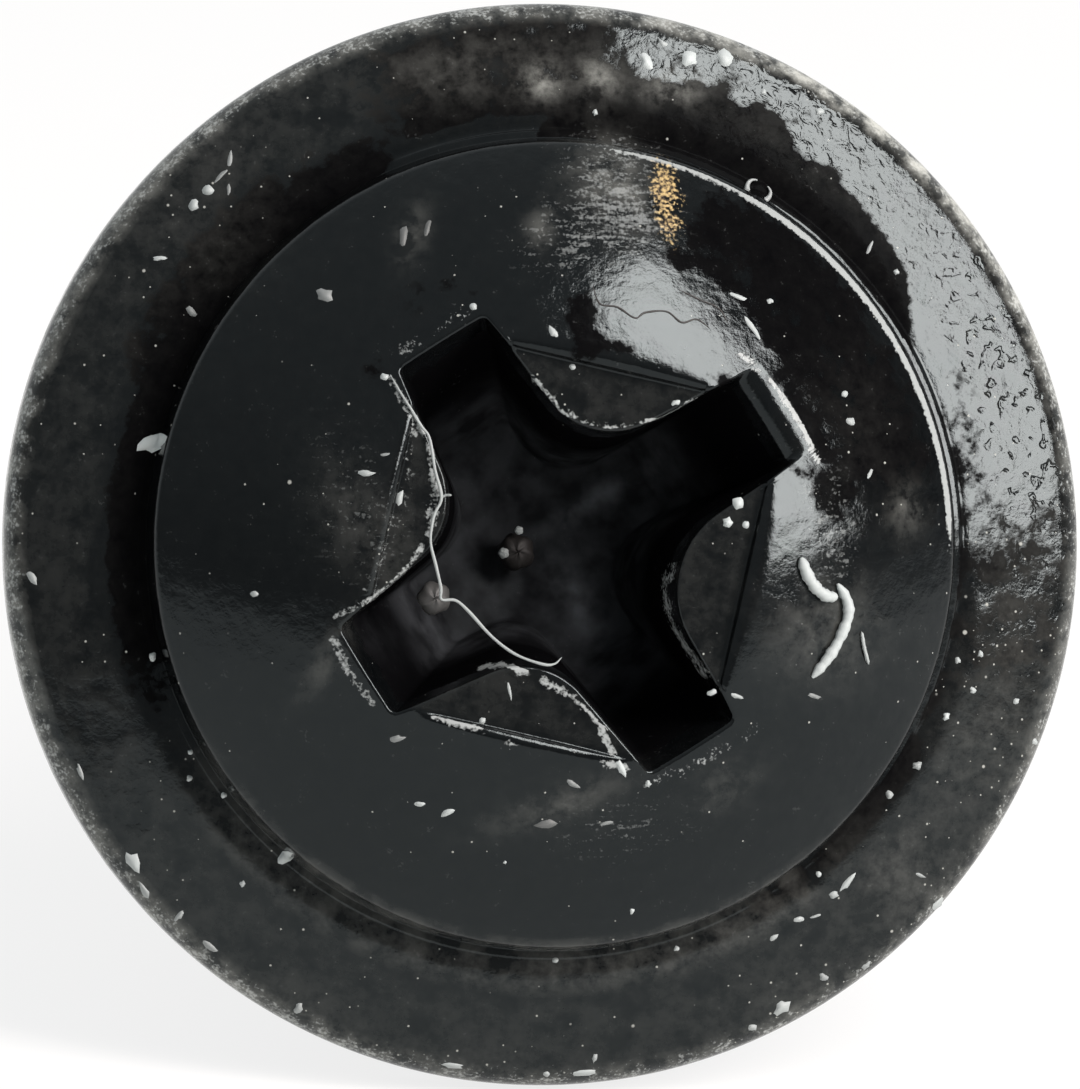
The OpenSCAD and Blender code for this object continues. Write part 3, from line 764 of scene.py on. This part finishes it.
def add(tree, kind, inputs=None, output=0, **settings):
    """A new node with its settings and links, and back comes one of its outputs.

    Each input takes a value or another node's output.
    """
    new = tree.nodes.new("ShaderNode" + kind)
    for key, value in settings.items():
        setattr(new, key, value)
    for key, value in (inputs or {}).items():
        if isinstance(value, bpy.types.NodeSocket):
            tree.links.new(value, new.inputs[key])
        else:
            new.inputs[key].default_value = value
    return new.outputs[output] if new.outputs else new


def new_material(name):
    """An empty material with its node tree and output."""
    material = bpy.data.materials.new(name)
    material.use_nodes = True
    material.node_tree.nodes.clear()
    output = material.node_tree.nodes.new("ShaderNodeOutputMaterial")
    return material, material.node_tree, output


def dots(tree, where, scale, low, high, amount, core):
    """Spots in a share of the cells of a random pattern, each of its own size and full in its core."""
    cell = add(tree, "TexVoronoi", {"Vector": where, "Scale": scale})
    size = add(tree, "SeparateColor", {0: cell.node.outputs["Color"]})
    reach = add(tree, "MapRange", {0: size, 3: low, 4: high})
    inside = add(tree, "Math", {0: cell, 1: reach}, operation="DIVIDE")
    inside = add(tree, "MapRange", {0: inside, 1: 1.0, 2: core})
    chosen = add(tree, "Math", {0: size.node.outputs[1], 1: amount}, operation="LESS_THAN")
    return add(tree, "Math", {0: inside, 1: chosen}, operation="MULTIPLY")


def black_plating():
    """Black zinc plating on steel, sealed and glossy: a near-black film with a clear gloss.

    Low waves give the gloss its ragged outlines and small pits its dark dashes. Over it lie, by the
    mesh's layers, matt black painted shade in the recess, round the pan's foot and over the bright
    band's edges, with painted gleams in the recess; grey bare metal on rubbed edges, and along the
    pan's edge on the upper right a painted highlight; scuffs, brown tarnish, and pale dust and film,
    which also carry painted light on the collar's rim and round the pan's lower foot. Each pattern is
    a noise in millimetres, so its scale is 1 over its size in mm.
    """
    material, tree, output = new_material("black zinc plating, scuffed")
    where = add(tree, "Attribute", output="Vector", attribute_name="screw_mm")
    wears = ("pitted", "creased", "deep", "worn", "scuffed", "rusty", "shade_cover", "film_and_painted_light", "dusty")
    wear = {name: add(tree, "Attribute", output="Fac", attribute_name=name) for name in wears}

    # the plating's slow waves of 0.6 mm, its ragged ground of 0.17 mm, clouds of 0.3 mm and fine
    # grain of 0.03 mm, and the 0.04 by 0.2 mm streaks left by rubbing
    wavy = add(tree, "TexNoise", {"Vector": where, "Scale": 1 / 0.625, "Detail": 2.0})
    ragged = add(tree, "TexNoise", {"Vector": where, "Scale": 1 / 0.167, "Detail": 5.0, "Roughness": 0.7})
    cloudy = add(tree, "TexNoise", {"Vector": where, "Scale": 1 / 0.3125, "Detail": 3.0})
    grain = add(tree, "TexNoise", {"Vector": where, "Scale": 1 / 0.033, "Detail": 3.0})
    streaks = add(tree, "Mapping", {"Vector": where, "Rotation": (0.0, 0.0, 0.2), "Scale": (5.0, 24.0, 5.0)})
    streaks = add(tree, "TexNoise", {"Vector": streaks, "Scale": 1.0, "Detail": 3.0})

    # pits are short winding lines, a tenth of a millimetre apart, and only in places
    pits = add(tree, "TexNoise", {"Vector": where, "Scale": 1 / 0.125, "Detail": 1.0})
    pits = add(tree, "Math", {0: pits, 1: 0.5}, operation="SUBTRACT")
    pits = add(tree, "Math", {0: pits}, operation="ABSOLUTE")
    pits = add(tree, "MapRange", {0: pits, 1: 0.1, 2: 0.02})
    here = add(tree, "TexNoise", {"Vector": where, "Scale": 1 / 0.11, "Detail": 0.0, "Distortion": 0.3})
    here = add(tree, "MapRange", {0: here, 1: 0.58, 2: 0.66})
    here = add(tree, "Math", {0: here, 1: wear["pitted"]}, operation="MULTIPLY")
    pits = add(tree, "Math", {0: pits, 1: here}, operation="MULTIPLY")
    folds = add(tree, "TexNoise", {"Vector": where, "Scale": 1 / 0.125, "Detail": 2.0, "Distortion": 0.8})
    folds = add(tree, "Math", {0: folds, 1: wear["creased"]}, operation="MULTIPLY")

    bump = add(tree, "Bump", {"Height": wavy, "Distance": 8e-6})
    bump = add(tree, "Bump", {"Height": ragged, "Distance": 5e-6, "Normal": bump})
    bump = add(tree, "Bump", {"Height": cloudy, "Distance": 6e-6, "Normal": bump})
    bump = add(tree, "Bump", {"Height": folds, "Distance": 16e-6, "Normal": bump})
    bump = add(tree, "Bump", {"Height": pits, "Distance": 7e-6, "Normal": bump}, invert=True)

    haze = add(tree, "MapRange", {0: wavy, 1: 0.3, 2: 0.7, 3: 0.05, 4: 0.12})
    gloss = add(tree, "BsdfPrincipled", {
        "Base Color": colour("#040506"), "Roughness": haze, "IOR": 1.4,
        "Specular Tint": colour("#e2f0f3"), "Normal": bump})
    # matt black painted shade, lighter grey where gleams are painted in the recess
    recess_gleam = add(tree, "MapRange", {0: cloudy, 1: 0.35, 2: 0.65, 3: 0.3, 4: 1.0})
    recess_gleam = add(tree, "Math", {0: wear["deep"], 1: recess_gleam}, operation="MULTIPLY")
    shade_tone = add(tree, "Mix", {0: recess_gleam, 6: colour("#060607"), 7: colour("#565a5e")}, output=2,
               data_type="RGBA")
    painted_shade = add(tree, "BsdfDiffuse", {"Color": shade_tone})
    metal = add(tree, "BsdfPrincipled", {
        "Base Color": colour("#8f9595"), "Roughness": 0.45, "Normal": bump})
    golden = add(tree, "MapRange", {0: grain, 1: 0.43, 2: 0.66})
    golden = add(tree, "Mix", {0: golden, 6: colour("#43321a"), 7: colour("#bda46e")}, output=2,
                 data_type="RGBA")
    tarnish = add(tree, "BsdfPrincipled", {"Base Color": golden, "Roughness": 0.35, "Normal": bump})
    # pale dust, also the colour of the painted light on the collar's rim and round the pan's foot
    dust = add(tree, "BsdfDiffuse", {"Color": colour("#a5a8a3")})

    # where each of them lies
    spotty = add(tree, "Math", {0: ragged, 1: grain}, operation="ADD")
    spotty = add(tree, "MapRange", {0: spotty, 1: 0.72, 2: 1.28})
    # grey bare metal on rubbed edges, and the painted highlight along the pan's edge
    worn = add(tree, "Math", {0: wear["worn"], 1: spotty}, operation="ADD")
    worn = add(tree, "MapRange", {0: worn, 1: 0.98, 2: 1.4, 3: 0.0, 4: 0.9})
    brushed = add(tree, "Math", {0: streaks, 1: grain}, operation="ADD")
    brushed = add(tree, "MapRange", {0: brushed, 1: 0.75, 2: 1.25})
    scuffed = add(tree, "Math", {0: wear["scuffed"], 1: brushed}, operation="ADD")
    scuffed = add(tree, "MapRange", {0: scuffed, 1: 0.9, 2: 1.45, 3: 0.0, 4: 0.45})
    rubbed = add(tree, "MapRange", {0: wear["scuffed"], 1: 0.02, 2: 0.12})
    scuffed = add(tree, "Math", {0: scuffed, 1: rubbed}, operation="MULTIPLY")
    bare = add(tree, "Math", {0: worn, 1: scuffed}, operation="MAXIMUM")
    rusty = add(tree, "Math", {0: wear["rusty"], 1: spotty}, operation="MULTIPLY")
    rusty = add(tree, "MapRange", {0: rusty, 1: 0.45, 2: 0.9, 3: 0.0, 4: 0.85})
    patchy = add(tree, "Math", {0: ragged, 1: cloudy}, operation="ADD")
    uneven = add(tree, "MapRange", {0: patchy, 1: 0.75, 2: 1.25, 3: 0.0, 4: 0.7})
    # where the black painted shade covers the gloss
    shade_cover = add(tree, "Math", {0: wear["shade_cover"], 1: uneven}, operation="ADD")
    shade_cover = add(tree, "MapRange", {0: shade_cover, 1: 0.72, 2: 0.95, 3: 0.0, 4: 0.985})

    # dust is specks in cells of 0.09 and 0.28 mm, over a thin film; the film also carries painted light on the
    # collar's rim and round the pan's lower foot
    fewer = add(tree, "Math", {0: wear["dusty"], 1: 0.6}, operation="MULTIPLY")
    tiny = dots(tree, where, 11.0, 0.05, 0.16, wear["dusty"], 0.6)
    small = dots(tree, where, 3.6, 0.03, 0.1, fewer, 0.6)
    specks = add(tree, "Math", {0: tiny, 1: small}, operation="MAXIMUM")
    specks = add(tree, "Math", {0: specks, 1: 0.7}, operation="MULTIPLY")
    thin = add(tree, "MapRange", {0: ragged, 1: 0.3, 2: 0.75, 3: 0.0, 4: 0.05})
    thin = add(tree, "Math", {0: wear["dusty"], 1: thin}, operation="MULTIPLY")
    # the patchy film, with the painted highlight on the collar's rim and the painted light round the pan's foot
    thick = add(tree, "MapRange", {0: patchy, 1: 0.85, 2: 1.2, 3: 0.15, 4: 1.6})
    thick = add(tree, "Math", {0: wear["film_and_painted_light"], 1: thick}, operation="MULTIPLY")
    film = add(tree, "Math", {0: thin, 1: thick}, operation="ADD")
    dust_and_painted_light = add(tree, "Math", {0: film, 1: specks}, operation="MAXIMUM")

    look = add(tree, "MixShader", {0: shade_cover, 1: gloss, 2: painted_shade})
    look = add(tree, "MixShader", {0: bare, 1: look, 2: metal})
    look = add(tree, "MixShader", {0: rusty, 1: look, 2: tarnish})
    look = add(tree, "MixShader", {0: dust_and_painted_light, 1: look, 2: dust})
    tree.links.new(look, output.inputs["Surface"])
    return material


def lint():
    """Dull pale lint and grit, from grey to white by the mesh's layer; also white flecks of painted highlight and
    dark lines of painted shade along cracks.
    """
    material, tree, output = new_material("dust and lint, with painted glints and crack shade")
    light = add(tree, "Attribute", output="Fac", attribute_name="light")
    shade = add(tree, "Mix", {0: light, 6: colour("#262423"), 7: colour("#a6aeae")}, output=2,
                data_type="RGBA")
    matt = add(tree, "BsdfPrincipled", {"Base Color": shade, "Roughness": 0.55})
    tree.links.new(matt, output.inputs["Surface"])
    return material


def white_paper():
    """Matt white paper. What the lens and the gloss see of it is partly its own even white."""
    material, tree, output = new_material("white paper")
    paper = add(tree, "BsdfDiffuse", {"Color": colour("#f2f2f0")})
    glow = add(tree, "Emission", {"Color": colour("#ffffff"), "Strength": 1.0})
    path = add(tree, "LightPath").node.outputs
    seen = add(tree, "Math", {0: path["Is Camera Ray"], 1: path["Is Glossy Ray"]}, operation="MAXIMUM")
    seen = add(tree, "Math", {0: seen, 1: path["Is Transmission Ray"]}, operation="MAXIMUM")
    share = add(tree, "Math", {0: seen, 1: 0.8}, operation="MULTIPLY")
    mix = add(tree, "MixShader", {0: share, 1: paper, 2: glow})
    tree.links.new(mix, output.inputs["Surface"])
    return material


# ------------------------------------------------------------------ the piece


points, faces = screw_mesh()
plating = black_plating()
screw = make_piece("screw_skin", points, faces, plating, **wear_layers(points))
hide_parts("screw")

points, faces = burr_mesh()
make_piece("burr", points, faces, plating, worn=np.full(len(points), 1.3), dusty=np.full(len(points), 0.1))

lint_and_painted_marks = lint()
points, faces, light = fleck_mesh()
make_piece("dust_flecks_and_glints", points, faces, lint_and_painted_marks, light=light)
points, faces, light = hair_and_crack_mesh()
make_piece("hairs_lumps_and_crack_shade", points, faces, lint_and_painted_marks, light=light)


# ------------------------------------------------------------------ floor, light and camera

LEAN = 7.15             # degrees by which the camera stands left of the screw's axis
SCALE = 108.1           # pixels per millimetre at the collar, in the 1080 by 1089 frame
RIM_MID = np.array([-0.012, 0, COLLAR_EDGE_R + COLLAR_BAND / 2])
CAMERA_DISTANCE = 150.0


def look_from(location, back, up):
    """Matrix of a camera or lamp at a location in the screw's frame, given its back and up ways."""
    right = np.cross(up, back)
    right /= np.linalg.norm(right)
    turn = SCREW_TO_WORLD @ np.column_stack([right, np.cross(back, right), back])
    matrix = Matrix.Identity(4)
    for i in range(3):
        for j in range(3):
            matrix[i][j] = turn[i, j]
        matrix[i][3] = place(location)[i]
    return matrix


def set_camera():
    """A long lens, level with the screw's tilted axis and a little to its left."""
    back = np.array([-sin(LEAN), 0, cos(LEAN)])
    data = bpy.data.cameras.new("camera")
    data.sensor_fit, data.sensor_height = "VERTICAL", 36.0
    data.lens = 36.0 * CAMERA_DISTANCE / (1089 / SCALE)
    data.clip_start, data.clip_end = 0.005, 5.0
    camera = bpy.data.objects.new("camera", data)
    camera.matrix_world = look_from(RIM_MID + CAMERA_DISTANCE * back, back, np.array([0, 1.0, 0]))
    bpy.context.scene.collection.objects.link(camera)
    bpy.context.scene.camera = camera


def set_floor():
    """A wide round sheet at the height the screw lies on."""
    a = np.arange(96) * 2 * np.pi / 96
    ring = np.column_stack([0.6 * np.cos(a), 0.6 * np.sin(a), 0 * a])
    mesh = bpy.data.meshes.new("floor")
    mesh.from_pydata(ring.tolist(), [], [list(range(96))])
    mesh.materials.append(white_paper())
    floor = bpy.data.objects.new("floor", mesh)
    bpy.context.scene.collection.objects.link(floor)


def set_softbox():
    """One long soft box, up and to the right of the head as the camera sees it."""
    polar, azimuth, distance = 44.5, 35.5, 80.0
    back = np.array([sin(polar) * cos(azimuth), sin(polar) * sin(azimuth), cos(polar)])
    data = bpy.data.lights.new("softbox", "AREA")
    data.shape, data.size, data.size_y = "RECTANGLE", 0.08, 0.0268
    data.energy = 19.5 * np.pi * data.size * data.size_y
    data.color = (1.0, 0.92, 0.89)
    lamp = bpy.data.objects.new("softbox", data)
    up = np.array([cos(polar) * cos(azimuth), cos(polar) * sin(azimuth), -sin(polar)])
    lamp.matrix_world = look_from(distance * back, back, -up)
    bpy.context.scene.collection.objects.link(lamp)


def set_world():
    """A dim room in front of the head and a white sweep behind it, brighter overhead."""
    world = bpy.data.worlds.new("room")
    bpy.context.scene.world = world
    world.use_nodes = True
    tree = world.node_tree
    tree.nodes.clear()
    way = add(tree, "TexCoord", output="Generated")
    part = add(tree, "SeparateXYZ", {0: way}).node.outputs
    front = add(tree, "VectorMath", {0: way, 1: (-0.08, 0.0, 0.36)}, output="Value",
                operation="DOT_PRODUCT")
    front = add(tree, "Math", {0: front, 1: 0.16}, operation="ADD")
    fall = add(tree, "MapRange", {0: part["X"], 1: 0.25, 2: 0.75, 3: 1.0, 4: 0.4})
    front = add(tree, "Math", {0: front, 1: fall}, operation="MULTIPLY")
    low = add(tree, "MapRange", {0: part["Z"], 1: 0.22, 2: 0.06})
    right = add(tree, "MapRange", {0: part["X"], 1: 0.2, 2: 0.6, 3: 0.0, 4: 0.36})
    low = add(tree, "Math", {0: low, 1: right}, operation="MULTIPLY")
    front = add(tree, "Math", {0: front, 1: low}, operation="ADD")
    back = add(tree, "MapRange", {0: part["Y"], 1: -0.1, 2: 0.35}, interpolation_type="SMOOTHSTEP")
    level = add(tree, "Mix", {0: back, 2: front, 3: 0.85})
    light = add(tree, "Background", {"Color": colour("#fbfdff"), "Strength": level})
    add(tree, "OutputWorld", {"Surface": light})


set_camera()
set_floor()
set_softbox()
set_world()
bpy.context.scene.view_settings.view_transform = "Standard"
